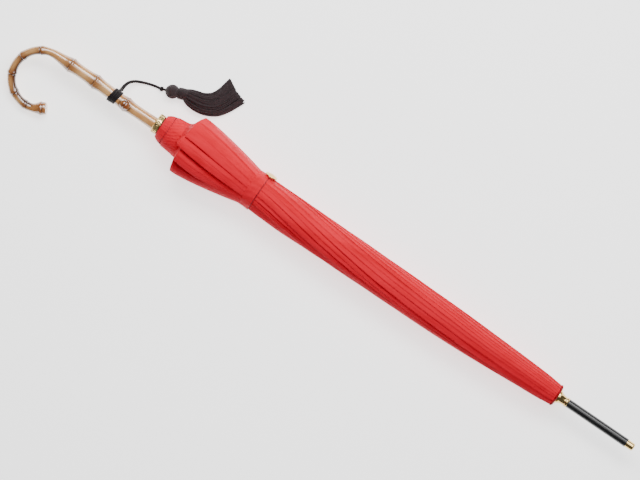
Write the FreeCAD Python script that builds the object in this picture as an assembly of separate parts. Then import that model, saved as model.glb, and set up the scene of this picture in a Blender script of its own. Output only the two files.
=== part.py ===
import FreeCAD, Part
import math
import os

Vec = FreeCAD.Vector

# Stick umbrella, furled and lying on its side. Lengths are millimetres, angles are degrees.
# While it is built, +X runs along the shaft from the crook's outermost edge (x = 0) to the ferrule tip,
# +Z is up, and the shaft's centre line is y = z = 0. The last step moves the origin to the base's centre.

# ---- overall -------------------------------------------------------------------------------------
TABLE_DROP = 27.0
PANEL_COUNT = 8
PANEL_STEP = 360.0 / PANEL_COUNT
TOTAL_LENGTH = 920.0
CUT_PAST = 1.0
EDGE_TOLERANCE = 0.1
MESH_STEP = 0.2

# ---- shaft, ferrule and the fittings on top of the canopy ----------------------------------------
SHAFT_R = 4.5
SHAFT_BORE_R = 3.7
SPIGOT_R = 3.0
SPIGOT_PLUG = 3.5
SHAFT_START = 150.0
SHAFT_END = 908.5
TUBE_START = 820.0
TUBE_END = 909.0
TUBE_R = 5.7
TIP_R = 5.1
TIP_ROUND = 2.2
CAP_START = 806.5
CAP_R_WIDE = 8.0
CAP_R_NARROW = 6.4
CAP_RIM = 2.2
CAP_HOLLOW = 0.45
SEAT_START = 805.0
SEAT_R = 9.5
ROSETTE_START = 803.0
ROSETTE_R = 14.5
GATHER_START = 789.5
GATHER_R_LOW = 15.6
GATHER_R_HIGH = 13.9
GATHER_BEVEL = 1.5

# ---- crown, where the ribs hinge -----------------------------------------------------------------
CROWN_X = 782.0
PIVOT_R = 8.6
CROWN_HALF_LENGTH = 4.0
CROWN_OUTER_R = 9.8
CROWN_HUB_R = 6.8
CROWN_NECK_LENGTH = 3.5
SLOT_HALF_WIDTH = 1.5
WIRE_R = 0.5
CROWN_PIN_R = 0.8
CROWN_PIN_MARGIN = 0.4
OPEN_ANGLE = 72.0

# ---- ribs and stretchers -------------------------------------------------------------------------
RIB_TIP_X = 212.0
RIB_START_BEHIND = 6.0
RIB_LOW_R = 10.4
RIB_HIGH_R = 13.1
RIB_HALF_WIDTH = 1.4
RIB_WALL = 0.5
RIB_END_SOLID = 9.0
NECK_HALF_WIDTH = 1.2
EYE_R = 1.5
EYE_BORE_R = 0.65
EYE_FOOT = 0.9
NECK_LAP = 1.0
TIP_CAP_START = 203.0
TIP_CAP_R = 1.25
TIP_CAP_ROUND = 1.0
TIP_CAP_LAP = 1.0
ARM = 265.0
LUG_R = 1.4
LUG_INNER = 0.85
LUG_HALF_LENGTH = 3.0
RIVET_R = 0.5
STRETCHER_HALF_HEIGHT = 1.0
STRETCHER_HALF_WIDTH = 1.1
STRETCHER_EYE_HALF_WIDTH = 0.6
STRETCHER_NARROW_LENGTH = 5.0
STRETCHER_BORE_R = 0.56
OPEN_EYE_BORE_R = 0.6

# ---- runner and catches --------------------------------------------------------------------------
RUNNER_BORE_R = 4.55
RUNNER_SLEEVE_R = 7.0
RUNNER_RING_R = 9.5
RUNNER_RING_HALF = 4.5
RUNNER_TAIL = 37.0
RUNNER_NOSE = 9.0
KEYWAY_R = 6.4
KEYWAY_HALF_WIDTH = 1.4
CATCH_X = (232.0, 566.0)
CATCH_LENGTH = 12.0
CATCH_LOW_R = 2.6
CATCH_HIGH_R = 6.0
CATCH_HALF_WIDTH = 1.0
CATCH_GAP = 0.35
CATCH_SLOPE = 5.0
CATCH_AZIMUTH = 22.5

# ---- furled canopy -------------------------------------------------------------------------------
CANOPY_INNER_R = 13.2
CANOPY_SWEEP = 43.0
CANOPY_PROFILE = (
    (202.0, 15.4),
    (206.0, 17.6),
    (213.0, 20.0),
    (224.0, 23.0),
    (231.0, 30.0),
    (237.0, 38.0),
    (244.0, 40.3),
    (262.0, 38.6),
    (284.0, 35.6),
    (313.0, 30.4),
    (336.0, 25.6),
    (350.0, 25.4),
    (375.0, 26.6),
    (410.0, 27.3),
    (450.0, 27.3),
    (500.0, 26.8),
    (550.0, 25.7),
    (600.0, 24.8),
    (650.0, 23.2),
    (700.0, 21.2),
    (750.0, 18.6),
    (774.0, 17.0),
)
FOLD_START = 292.0
FOLD_END = 770.0
FOLD_R = 1.2
STRAP_START = 336.0
STRAP_END = 350.5
STRAP_INNER_R = 25.9
STRAP_OUTER_R = 26.7
BUTTON_X = 352.0
BUTTON_R = 8.4
BUTTON_HEIGHT = 3.4
BUTTON_RIM = 0.8
BUTTON_SEAT_R = 26.8
BUTTON_AZIMUTH = 14.0

# ---- handle --------------------------------------------------------------------------------------
HANDLE_END = 193.5
CROOK_CENTRE_X = 44.6
CROOK_R = 38.2
CROOK_START_OFFSET = 0.5
HOOK_R = 26.0
HOOK_TURN = 33.0
END_STRAIGHT = 13.0
CANE_R_COLLAR = 7.6
CANE_R_GRIP = 7.2
CANE_R_CROOK = 5.2
CANE_R_FLARE = 7.8
SWELL_LENGTH = 17.6
TAPER_BEFORE_CROOK = 17.6
TAPER_IN_CROOK = 24.0
FLARE_LENGTH = 25.0
SLOPE_SPAN = 1.0
NODE_RISE_GRIP = 2.0
NODE_RISE_CROOK = 1.0
NODE_ROUND_GRIP = 3.6
NODE_ROUND_CROOK = 2.3
NODE_X = (65.5, 102.5, 150.0)
NODE_TURN = (31.7, 70.7, 110.0, 148.0, 180.0)
LOFT_STEP = 7.0
GRIP_STEP = 2.0
GRIP_STEP_X = (105.0, 150.0)
HANDLE_PIN_X = 176.0
HANDLE_PIN_R = 1.2
HANDLE_PIN_REACH = 6.6
BAND_START = 127.0
BAND_LENGTH = 11.5
BAND_R = 10.1

# ---- collar and tip cup --------------------------------------------------------------------------
COLLAR_R = 13.0
COLLAR_LENGTH = 8.0
COLLAR_ROUND = 1.2
INLAY_MARGIN = 2.0
INLAY_DEPTH = 0.6
CUP_FLANGE_R = 11.6
CUP_FLANGE_LENGTH = 1.2
CUP_R = 8.8
CUP_LENGTH = 6.5

# ---- tassel --------------------------------------------------------------------------------------
CORD_R = 1.5
CORD_TRIM = 0.45
CORD_POINTS = (
    (135.0, 8.6, -5.0),
    (134.6, 17.8, -11.5),
    (140.5, 27.3, -19.5),
    (154.0, 33.6, -25.0),
    (167.0, 37.6, -25.3),
    (173.4, 38.4, -24.0),
)
KNOT_CENTRE = (175.2, 38.8, -23.6)
KNOT_R = 3.0
KNOT_LENGTH = 5.4
KNOT_ROUND = 2.0
HEAD_CENTRE = (188.8, 43.7, -18.2)
HEAD_R = 8.8
NECK_CENTRE = (200.4, 48.3, -19.5)
NECK_R = 7.3
NECK_LENGTH = 8.6
NECK_TURN = 21.0
SKIRT_SECTIONS = (
    (205.6, 50.0, 20.0, 7.4, 7.2),
    (220.0, 51.8, 21.0, 11.6, 6.2),
    (233.0, 55.6, 36.0, 13.4, 5.4),
    (243.0, 63.5, 50.0, 14.8, 4.8),
    (249.5, 74.0, 61.0, 16.0, 4.2),
    (255.0, 90.0, 68.0, 17.5, 3.6),
)


def ring(start, end, inner, outer):
    """Plain tube along X."""
    body = Part.makeCylinder(outer, end - start, Vec(start, 0, 0), Vec(1, 0, 0))
    if inner <= 0:
        return body
    hole = Part.makeCylinder(inner, end - start, Vec(start, 0, 0), Vec(1, 0, 0))
    return body.cut(hole)


def turned(points):
    """Solid made by turning a closed outline of (x, radius) points about X."""
    corners = [Vec(x, r, 0) for x, r in points]
    outline = Part.makePolygon(corners + [corners[0]])
    return Part.Face(outline).revolve(Vec(0, 0, 0), Vec(1, 0, 0), 360)


def plate(points, half_width, centre=0.0):
    """Flat plate of (x, radius) points, standing in the plane through X and Y."""
    corners = [Vec(x, r, centre - half_width) for x, r in points]
    outline = Part.makePolygon(corners + [corners[0]])
    return Part.Face(outline).extrude(Vec(0, 0, 2 * half_width))


def cross_pin(x, y, radius, half_length):
    """Round pin along Z, used for eyes, bores and rivets."""
    return Part.makeCylinder(radius, 2 * half_length, Vec(x, y, -half_length), Vec(0, 0, 1))


def about_shaft(shape, angle):
    copy = shape.copy()
    copy.rotate(Vec(0, 0, 0), Vec(1, 0, 0), angle)
    return copy


def slots(centre_x, half_length, bottom_r, top_r):
    """Eight radial slots, open outwards."""
    depth = top_r - bottom_r
    corner = Vec(centre_x - half_length, bottom_r, -SLOT_HALF_WIDTH)
    one = Part.makeBox(2 * half_length, depth, 2 * SLOT_HALF_WIDTH, corner)
    copies = [about_shaft(one, PANEL_STEP * k) for k in range(PANEL_COUNT)]
    return Part.makeCompound(copies)


# ---- handle --------------------------------------------------------------------------------------
# The crook lies in a plane that drops from the grip until the cane's far side touches the table.
CROOK_REACH = CROOK_START_OFFSET + 2 * CROOK_R
CROOK_DROP = math.asin((TABLE_DROP - CANE_R_CROOK - NODE_RISE_CROOK) / CROOK_REACH)


def crook_point(x, offset):
    """Point of the crook's plane: x along the shaft, offset away from it."""
    return Vec(x, -offset * math.cos(CROOK_DROP), -offset * math.sin(CROOK_DROP))


GRIP_LENGTH = HANDLE_END - CROOK_CENTRE_X
CROOK_LENGTH = math.pi * CROOK_R
HOOK_LENGTH = math.radians(HOOK_TURN) * HOOK_R
CANE_LENGTH = GRIP_LENGTH + CROOK_LENGTH + HOOK_LENGTH + END_STRAIGHT


def ramp(s, start, end):
    share = min(max((s - start) / (end - start), 0.0), 1.0)
    return share * share * (3 - 2 * share)


def grip_offset(x):
    """The grip steps sideways a little, as natural cane does."""
    return CROOK_START_OFFSET + GRIP_STEP * ramp(x, *GRIP_STEP_X)


def cane_axis(s):
    """Centre line of the cane at the distance s from the collar, as (x, offset, heading)."""
    if s < GRIP_LENGTH:
        x = HANDLE_END - s
        slope = (grip_offset(x - 0.5 * SLOPE_SPAN) - grip_offset(x + 0.5 * SLOPE_SPAN)) / SLOPE_SPAN
        return x, grip_offset(x), math.atan(slope)
    s = s - GRIP_LENGTH
    if s < CROOK_LENGTH:
        turn = s / CROOK_R
        x = CROOK_CENTRE_X - CROOK_R * math.sin(turn)
        offset = CROOK_START_OFFSET + CROOK_R * (1 - math.cos(turn))
        return x, offset, turn
    s = s - CROOK_LENGTH
    turn = min(s / HOOK_R, math.radians(HOOK_TURN))
    x = CROOK_CENTRE_X + HOOK_R * math.sin(turn)
    offset = CROOK_REACH - HOOK_R * (1 - math.cos(turn))
    rest = max(s - HOOK_LENGTH, 0.0)
    x = x + rest * math.cos(turn)
    offset = offset - rest * math.sin(turn)
    return x, offset, math.pi + turn


GRIP_NODES = [HANDLE_END - x for x in NODE_X]
CROOK_NODES = [GRIP_LENGTH + math.radians(turn) * CROOK_R for turn in NODE_TURN]


def cane_radius(s):
    """The cane swells behind the collar, thins into the crook and flares at the root end."""
    radius = CANE_R_COLLAR + (CANE_R_GRIP - CANE_R_COLLAR) * ramp(s, 0, SWELL_LENGTH)
    taper_start = GRIP_LENGTH - TAPER_BEFORE_CROOK
    taper_end = GRIP_LENGTH + TAPER_IN_CROOK
    radius = radius + (CANE_R_CROOK - CANE_R_GRIP) * ramp(s, taper_start, taper_end)
    flare_start = CANE_LENGTH - FLARE_LENGTH
    radius = radius + (CANE_R_FLARE - CANE_R_CROOK) * ramp(s, flare_start, CANE_LENGTH)
    return radius


CROOK_NORMAL = Vec(0, -math.sin(CROOK_DROP), math.cos(CROOK_DROP))


def cane_section(s):
    """Circle square to the centre line. Its seam always faces along the crook plane's normal."""
    x, offset, turn = cane_axis(s)
    ahead = crook_point(-math.cos(turn), math.sin(turn))
    frame = FreeCAD.Rotation(CROOK_NORMAL, ahead.cross(CROOK_NORMAL), ahead, "ZXY")
    circle = Part.makeCircle(cane_radius(s))
    circle.Placement = FreeCAD.Placement(crook_point(x, offset), frame)
    return Part.Wire(circle)


def cane_node(s, rise, rounding):
    """Raised ring where a leaf once grew."""
    x, offset, turn = cane_axis(s)
    ahead = crook_point(-math.cos(turn), math.sin(turn))
    return Part.makeTorus(cane_radius(s) + rise - rounding, rounding, crook_point(x, offset), ahead)


section_count = int(round(CANE_LENGTH / LOFT_STEP))
stations = [CANE_LENGTH * i / section_count for i in range(section_count + 1)]
cane = Part.makeLoft([cane_section(s) for s in stations], True, False)
rings = [cane_node(s, NODE_RISE_GRIP, NODE_ROUND_GRIP) for s in GRIP_NODES]
rings = rings + [cane_node(s, NODE_RISE_CROOK, NODE_ROUND_CROOK) for s in CROOK_NODES]
cane = cane.fuse(rings)
shaft_hole = Part.makeCylinder(SPIGOT_R, HANDLE_END - SHAFT_START, Vec(SHAFT_START, 0, 0), Vec(1, 0, 0))
handle_pin = cross_pin(HANDLE_PIN_X, 0, HANDLE_PIN_R, HANDLE_PIN_REACH)
handle = cane.cut(shaft_hole).cut(handle_pin)

band_axis = crook_point(BAND_START, grip_offset(BAND_START + 0.5 * BAND_LENGTH))
band = Part.makeCylinder(BAND_R, BAND_LENGTH, band_axis, Vec(1, 0, 0)).cut(cane)

# ---- shaft and fixed fittings --------------------------------------------------------------------
crown_pin_half = CROWN_HUB_R - CROWN_PIN_MARGIN
crown_pin = Part.makeCylinder(
    CROWN_PIN_R,
    2 * crown_pin_half,
    Vec(CROWN_X + CROWN_HALF_LENGTH + 0.5 * CROWN_NECK_LENGTH, 0, -crown_pin_half),
    Vec(0, 0, 1),
)
shaft_tube = ring(HANDLE_END, SHAFT_END, SHAFT_BORE_R, SHAFT_R)
spigot = ring(SHAFT_START, HANDLE_END, 0, SPIGOT_R)
spigot_plug = ring(HANDLE_END, HANDLE_END + SPIGOT_PLUG, 0, SHAFT_BORE_R)
shaft = shaft_tube.fuse([spigot, spigot_plug]).removeSplitter().cut(handle_pin).cut(crown_pin)


def catch_window(start):
    length = CATCH_LENGTH + 2 * CATCH_GAP
    width = 2 * (CATCH_HALF_WIDTH + CATCH_GAP)
    corner = Vec(start - CATCH_GAP, 0, -0.5 * width)
    return about_shaft(Part.makeBox(length, SHAFT_R + CUT_PAST, width, corner), CATCH_AZIMUTH)


def catch(start):
    points = (
        (start, CATCH_LOW_R),
        (start + CATCH_LENGTH, CATCH_LOW_R),
        (start + CATCH_LENGTH, CATCH_HIGH_R),
        (start + CATCH_SLOPE, CATCH_HIGH_R),
        (start, SHAFT_R),
    )
    return about_shaft(plate(points, CATCH_HALF_WIDTH), CATCH_AZIMUTH)


for start in CATCH_X:
    shaft = shaft.cut(catch_window(start))

crown_back = CROWN_X - CROWN_HALF_LENGTH
crown_front = CROWN_X + CROWN_HALF_LENGTH
crown_wire = Part.makeTorus(PIVOT_R, WIRE_R, Vec(CROWN_X, 0, 0), Vec(1, 0, 0))
crown_ring = ring(crown_back, crown_front, SHAFT_R, CROWN_OUTER_R)
crown_slots = slots(CROWN_X, CROWN_HALF_LENGTH + CUT_PAST, CROWN_HUB_R, CROWN_OUTER_R + CUT_PAST)
crown_ring = crown_ring.cut(crown_slots)
crown_neck = ring(crown_front, crown_front + CROWN_NECK_LENGTH, SHAFT_R, CROWN_HUB_R)
crown = crown_ring.fuse(crown_neck).removeSplitter().cut(crown_wire).cut(crown_pin)

gather = turned(
    (
        (GATHER_START, SHAFT_R),
        (GATHER_START, GATHER_R_LOW - GATHER_BEVEL),
        (GATHER_START + GATHER_BEVEL, GATHER_R_LOW),
        (ROSETTE_START, GATHER_R_HIGH),
        (ROSETTE_START, SHAFT_R),
    )
)
rosette = ring(ROSETTE_START, SEAT_START, SHAFT_R, ROSETTE_R)
cap_seat = ring(SEAT_START, CAP_START, SHAFT_R, SEAT_R)

# The cap flares with a hollow curve from the ferrule tube down to its rim.
flare_mid_x = 0.5 * (CAP_START + CAP_RIM + TUBE_START)
flare_mid_r = 0.5 * (CAP_R_WIDE + CAP_R_NARROW) - CAP_HOLLOW
flare_arc = Part.Arc(
    Vec(CAP_START + CAP_RIM, CAP_R_WIDE, 0),
    Vec(flare_mid_x, flare_mid_r, 0),
    Vec(TUBE_START, CAP_R_NARROW, 0),
).toShape()
cap_corners = [
    Vec(TUBE_START, CAP_R_NARROW, 0),
    Vec(TUBE_START, SHAFT_R, 0),
    Vec(CAP_START, SHAFT_R, 0),
    Vec(CAP_START, CAP_R_WIDE, 0),
    Vec(CAP_START + CAP_RIM, CAP_R_WIDE, 0),
]
cap_outline = Part.Wire([flare_arc] + Part.makePolygon(cap_corners).Edges)
top_cap = Part.Face(cap_outline).revolve(Vec(0, 0, 0), Vec(1, 0, 0), 360)

ferrule_tube = ring(TUBE_START, TUBE_END, SHAFT_R, TUBE_R)
ferrule_tip = ring(TUBE_END, TOTAL_LENGTH, 0, TIP_R)
tip_edges = [e for e in ferrule_tip.Edges if e.BoundBox.XMin > TOTAL_LENGTH - EDGE_TOLERANCE]
ferrule_tip = ferrule_tip.makeFillet(TIP_ROUND, tip_edges)

collar_end = HANDLE_END + COLLAR_LENGTH
collar = ring(HANDLE_END, collar_end, SHAFT_R, COLLAR_R)
circles = [e for e in collar.Edges if isinstance(e.Curve, Part.Circle)]
rims = [e for e in circles if e.Curve.Radius > COLLAR_R - EDGE_TOLERANCE]
collar = collar.makeFillet(COLLAR_ROUND, rims)
inlay_start = HANDLE_END + INLAY_MARGIN
inlay_end = collar_end - INLAY_MARGIN
collar_inlay = ring(inlay_start, inlay_end, COLLAR_R - INLAY_DEPTH, COLLAR_R)
collar = collar.cut(collar_inlay)

tip_cup = turned(
    (
        (collar_end, SHAFT_R),
        (collar_end, CUP_FLANGE_R),
        (collar_end + CUP_FLANGE_LENGTH, CUP_FLANGE_R),
        (collar_end + CUP_FLANGE_LENGTH, CUP_R),
        (collar_end + CUP_LENGTH, CUP_R),
        (collar_end + CUP_LENGTH, SHAFT_R),
    )
)

# ---- runner --------------------------------------------------------------------------------------
runner_x = CROWN_X - 2 * ARM
runner_back = runner_x - RUNNER_TAIL
runner_front = runner_x + RUNNER_NOSE
sleeve = ring(runner_back, runner_front, RUNNER_BORE_R, RUNNER_SLEEVE_R)
ring_slots = slots(runner_x, RUNNER_RING_HALF + CUT_PAST, RUNNER_SLEEVE_R, RUNNER_RING_R + CUT_PAST)
notch_ring = ring(runner_x - RUNNER_RING_HALF, runner_x + RUNNER_RING_HALF, RUNNER_BORE_R, RUNNER_RING_R)
notch_ring = notch_ring.cut(ring_slots)
keyway_length = RUNNER_TAIL + RUNNER_NOSE + 2 * CUT_PAST
keyway = Part.makeBox(
    keyway_length, KEYWAY_R, 2 * KEYWAY_HALF_WIDTH, Vec(runner_back - CUT_PAST, 0, -KEYWAY_HALF_WIDTH)
)
runner = sleeve.fuse(notch_ring).removeSplitter().cut(about_shaft(keyway, CATCH_AZIMUTH))

# ---- one rib with its tip, one stretcher, one canopy sector, one fold, all on the +Y side --------
rib_end_x = CROWN_X - RIB_START_BEHIND
rib_bar = Part.makeBox(
    rib_end_x - RIB_TIP_X,
    RIB_HIGH_R - RIB_LOW_R,
    2 * RIB_HALF_WIDTH,
    Vec(RIB_TIP_X, RIB_LOW_R, -RIB_HALF_WIDTH),
)
groove_start = RIB_TIP_X + RIB_END_SOLID
groove_end = rib_end_x - RIB_END_SOLID
groove = Part.makeBox(
    groove_end - groove_start,
    RIB_HIGH_R - RIB_LOW_R - RIB_WALL,
    2 * (RIB_HALF_WIDTH - RIB_WALL),
    Vec(groove_start, RIB_LOW_R, RIB_WALL - RIB_HALF_WIDTH),
)
neck = plate(
    (
        (CROWN_X - EYE_R, PIVOT_R),
        (CROWN_X - EYE_FOOT, PIVOT_R - EYE_FOOT),
        (CROWN_X, PIVOT_R),
        (CROWN_X + EYE_FOOT, PIVOT_R + EYE_FOOT),
        (rib_end_x, RIB_HIGH_R),
        (rib_end_x - NECK_LAP, RIB_LOW_R),
    ),
    NECK_HALF_WIDTH,
)
eye = cross_pin(CROWN_X, PIVOT_R, EYE_R, NECK_HALF_WIDTH)
eye_bore = cross_pin(CROWN_X, PIVOT_R, EYE_BORE_R, NECK_HALF_WIDTH + CUT_PAST)
joint_x = CROWN_X - ARM
lug_width = 0.5 * (RIB_HALF_WIDTH - LUG_INNER)
lug_centre = 0.5 * (RIB_HALF_WIDTH + LUG_INNER)
rib = rib_bar.cut(groove).fuse([neck, eye]).cut(eye_bore)
for side in (-1, 1):
    web = plate(
        (
            (joint_x - LUG_R, PIVOT_R),
            (joint_x + LUG_R, PIVOT_R),
            (joint_x + LUG_HALF_LENGTH, RIB_LOW_R + RIB_WALL),
            (joint_x - LUG_HALF_LENGTH, RIB_LOW_R + RIB_WALL),
        ),
        lug_width,
        side * lug_centre,
    )
    boss_start = Vec(joint_x, PIVOT_R, side * lug_centre - lug_width)
    boss = Part.makeCylinder(LUG_R, 2 * lug_width, boss_start, Vec(0, 0, 1))
    rib = rib.fuse([web, boss])
rib = rib.fuse(cross_pin(joint_x, PIVOT_R, RIVET_R, RIB_HALF_WIDTH)).removeSplitter()

rib_mid_r = 0.5 * (RIB_LOW_R + RIB_HIGH_R)
tip_cap_length = RIB_TIP_X + TIP_CAP_LAP - TIP_CAP_START
tip_cap = Part.makeCylinder(TIP_CAP_R, tip_cap_length, Vec(TIP_CAP_START, rib_mid_r, 0), Vec(1, 0, 0))
far_edges = [e for e in tip_cap.Edges if e.BoundBox.XMax < TIP_CAP_START + EDGE_TOLERANCE]
tip_cap = tip_cap.makeFillet(TIP_CAP_ROUND, far_edges)
rib = rib.fuse(tip_cap)

stretcher_foot = PIVOT_R - STRETCHER_HALF_HEIGHT
stretcher_wide = Part.makeBox(
    ARM - STRETCHER_NARROW_LENGTH,
    2 * STRETCHER_HALF_HEIGHT,
    2 * STRETCHER_HALF_WIDTH,
    Vec(runner_x, stretcher_foot, -STRETCHER_HALF_WIDTH),
)
stretcher_narrow = Part.makeBox(
    STRETCHER_NARROW_LENGTH,
    2 * STRETCHER_HALF_HEIGHT,
    2 * STRETCHER_EYE_HALF_WIDTH,
    Vec(joint_x - STRETCHER_NARROW_LENGTH, stretcher_foot, -STRETCHER_EYE_HALF_WIDTH),
)
stretcher = stretcher_wide.fuse(
    [
        stretcher_narrow,
        cross_pin(joint_x, PIVOT_R, STRETCHER_HALF_HEIGHT, STRETCHER_EYE_HALF_WIDTH),
        cross_pin(runner_x, PIVOT_R, STRETCHER_HALF_HEIGHT, STRETCHER_HALF_WIDTH),
    ]
).removeSplitter()
stretcher = stretcher.cut(cross_pin(joint_x, PIVOT_R, STRETCHER_BORE_R, STRETCHER_HALF_WIDTH))
stretcher = stretcher.cut(cross_pin(runner_x, PIVOT_R, OPEN_EYE_BORE_R, 2 * STRETCHER_HALF_WIDTH))

profile_curve = Part.BSplineCurve()
profile_curve.interpolate([Vec(x, r, 0) for x, r in CANOPY_PROFILE])
hem_x, hem_r = CANOPY_PROFILE[0]
top_x, top_r = CANOPY_PROFILE[-1]
sector_corners = [
    Vec(top_x, top_r, 0),
    Vec(top_x, CANOPY_INNER_R, 0),
    Vec(hem_x, CANOPY_INNER_R, 0),
    Vec(hem_x, hem_r, 0),
]
sector_outline = Part.Wire([profile_curve.toShape()] + Part.makePolygon(sector_corners).Edges)
sector = Part.Face(sector_outline).revolve(Vec(0, 0, 0), Vec(1, 0, 0), CANOPY_SWEEP)
sector.rotate(Vec(0, 0, 0), Vec(1, 0, 0), -0.5 * CANOPY_SWEEP)

fold_r = PIVOT_R / math.cos(math.radians(0.5 * PANEL_STEP))
fold = Part.makeCylinder(FOLD_R, FOLD_END - FOLD_START, Vec(FOLD_START, fold_r, 0), Vec(1, 0, 0))
fold = about_shaft(fold, 0.5 * PANEL_STEP)

# The table flattens the flared hem.
widest = max(r for x, r in CANOPY_PROFILE)
below_corner = Vec(0, -2 * widest, -TABLE_DROP - 2 * widest)
below_table = Part.makeBox(TOTAL_LENGTH, 4 * widest, 2 * widest, below_corner)

# ---- strap and button ----------------------------------------------------------------------------
strap = ring(STRAP_START, STRAP_END, STRAP_INNER_R, STRAP_OUTER_R)
button_base = Part.makeCylinder(BUTTON_R, BUTTON_RIM, Vec(BUTTON_X, BUTTON_SEAT_R, 0), Vec(0, 1, 0))
dome_rise = BUTTON_HEIGHT - BUTTON_RIM
dome_r = (BUTTON_R**2 + dome_rise**2) / (2 * dome_rise)
dome_centre = Vec(BUTTON_X, BUTTON_SEAT_R + BUTTON_HEIGHT - dome_r, 0)
dome_foot = Vec(BUTTON_X, BUTTON_SEAT_R + BUTTON_RIM, 0)
dome_cover = Part.makeCylinder(BUTTON_R, dome_rise, dome_foot, Vec(0, 1, 0))
strap_button = button_base.fuse(Part.makeSphere(dome_r, dome_centre).common(dome_cover)).removeSplitter()
strap_button = about_shaft(strap_button, BUTTON_AZIMUTH)

# ---- tassel --------------------------------------------------------------------------------------
def cord_wire(points):
    """Straight runs joined by tangent arcs. Also returns the length and each arc's radius."""
    nodes = [Vec(*p) for p in points]
    edges = []
    radii = []
    length = 0.0
    last = nodes[0]
    for before, corner, after in zip(nodes, nodes[1:], nodes[2:]):
        into = corner - before
        out = after - corner
        turn = into.getAngle(out)
        trim = CORD_TRIM * min(into.Length, out.Length)
        radius = trim / math.tan(0.5 * turn)
        radii.append(radius)
        into.normalize()
        out.normalize()
        arc_start = corner - into * trim
        arc_end = corner + out * trim
        inward = (out - into).normalize()
        middle_distance = radius / math.cos(0.5 * turn) - radius
        middle = corner + inward * middle_distance
        edges.append(Part.makeLine(last, arc_start))
        edges.append(Part.Arc(arc_start, middle, arc_end).toShape())
        length = length + (arc_start - last).Length + radius * turn
        last = arc_end
    edges.append(Part.makeLine(last, nodes[-1]))
    length = length + (nodes[-1] - last).Length
    return Part.Wire(edges), length, radii


cord_path, cord_length, cord_radii = cord_wire(CORD_POINTS)
first_run = Vec(*CORD_POINTS[1]) - Vec(*CORD_POINTS[0])
cord_section = Part.Wire(Part.makeCircle(CORD_R, Vec(*CORD_POINTS[0]), first_run))
tassel_cord = cord_path.makePipeShell([cord_section], True, False)
head = Part.makeSphere(HEAD_R, Vec(*HEAD_CENTRE))
link = Vec(*HEAD_CENTRE) - Vec(*KNOT_CENTRE)
link_length = link.Length
link.normalize()
knot_start = Vec(*KNOT_CENTRE) - link * (0.5 * KNOT_LENGTH)
knot = Part.makeCylinder(KNOT_R, KNOT_LENGTH, knot_start, link)
knot = knot.makeFillet(KNOT_ROUND, [e for e in knot.Edges if isinstance(e.Curve, Part.Circle)])
knot = knot.fuse(Part.makeCylinder(CORD_R, link_length, Vec(*KNOT_CENTRE), link)).cut(head)
tassel_cord = tassel_cord.cut(knot)
neck_turn = math.radians(NECK_TURN)
neck_axis = Vec(math.cos(neck_turn), math.sin(neck_turn), 0)
neck_start = Vec(*NECK_CENTRE) - neck_axis * (0.5 * NECK_LENGTH)
neck_wrap = Part.makeCylinder(NECK_R, NECK_LENGTH, neck_start, neck_axis).cut(head)


def skirt_section(x, y, heading, half_width, half_height):
    """Flattened oval of the strands lying on the table, square to the heading."""
    angle = math.radians(heading)
    across = Vec(-math.sin(angle), math.cos(angle), 0)
    centre = Vec(x, y, half_height - TABLE_DROP)
    major = centre + across * half_width
    minor = centre + Vec(0, 0, half_height)
    return Part.Wire(Part.Ellipse(major, minor, centre).toShape())


skirt = Part.makeLoft([skirt_section(*row) for row in SKIRT_SECTIONS], True, False)
skirt = skirt.cut(neck_wrap)

# ---- all the pieces ------------------------------------------------------------------------------
parts = {
    "shaft": shaft,
    "handle": handle,
    "handle_pin": handle_pin,
    "grip_band": band,
    "collar": collar,
    "collar_inlay": collar_inlay,
    "tip_cup": tip_cup,
    "runner": runner,
    "crown": crown,
    "crown_wire": crown_wire,
    "crown_pin": crown_pin,
    "canopy_gather": gather,
    "rosette": rosette,
    "cap_seat": cap_seat,
    "top_cap": top_cap,
    "ferrule_tube": ferrule_tube,
    "ferrule_tip": ferrule_tip,
    "bottom_catch": catch(CATCH_X[0]),
    "top_catch": catch(CATCH_X[1]),
    "strap": strap,
    "strap_button": strap_button,
    "tassel_cord": tassel_cord,
    "tassel_knot": knot,
    "tassel_head": head,
    "tassel_neck": neck_wrap,
    "tassel_skirt": skirt,
}
for k in range(PANEL_COUNT):
    azimuth = PANEL_STEP * k
    parts["rib_%d" % k] = about_shaft(rib, azimuth)
    parts["stretcher_%d" % k] = about_shaft(stretcher, azimuth)
    parts["canopy_%d" % k] = about_shaft(sector, azimuth).cut(below_table)
    parts["panel_fold_%d" % k] = about_shaft(fold, azimuth)

# ---- origin at the middle of the base, measured without the tassel -------------------------------
low = [1e9, 1e9, 1e9]
high = [-1e9, -1e9, -1e9]
for name, shape in parts.items():
    if name.startswith("tassel"):
        continue
    for point in shape.tessellate(MESH_STEP)[0]:
        for axis in range(3):
            low[axis] = min(low[axis], point[axis])
            high[axis] = max(high[axis], point[axis])
shift = Vec(-0.5 * (low[0] + high[0]), -0.5 * (low[1] + high[1]), TABLE_DROP)

os.makedirs("parts", exist_ok=True)
for name, shape in parts.items():
    if len(shape.Solids) == 1:
        shape = shape.Solids[0]
    shape.translate(shift)
    shape.exportStep("parts/%s.step" % name)
    print(name, "solids", len(shape.Solids), "valid", shape.isValid(), "volume", round(shape.Volume, 1))

print("low", low, "high", high)
print("shift", shift.x, shift.y, shift.z)
print("crook drop deg", math.degrees(CROOK_DROP), "cane length", CANE_LENGTH)
print("cord length", cord_length, "radii", [round(r, 1) for r in cord_radii])
print("cord volume over section x length", tassel_cord.Volume / (math.pi * CORD_R**2 * cord_length))
print("runner travel", 2 * ARM * (1 - math.cos(math.radians(OPEN_ANGLE))))
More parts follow.
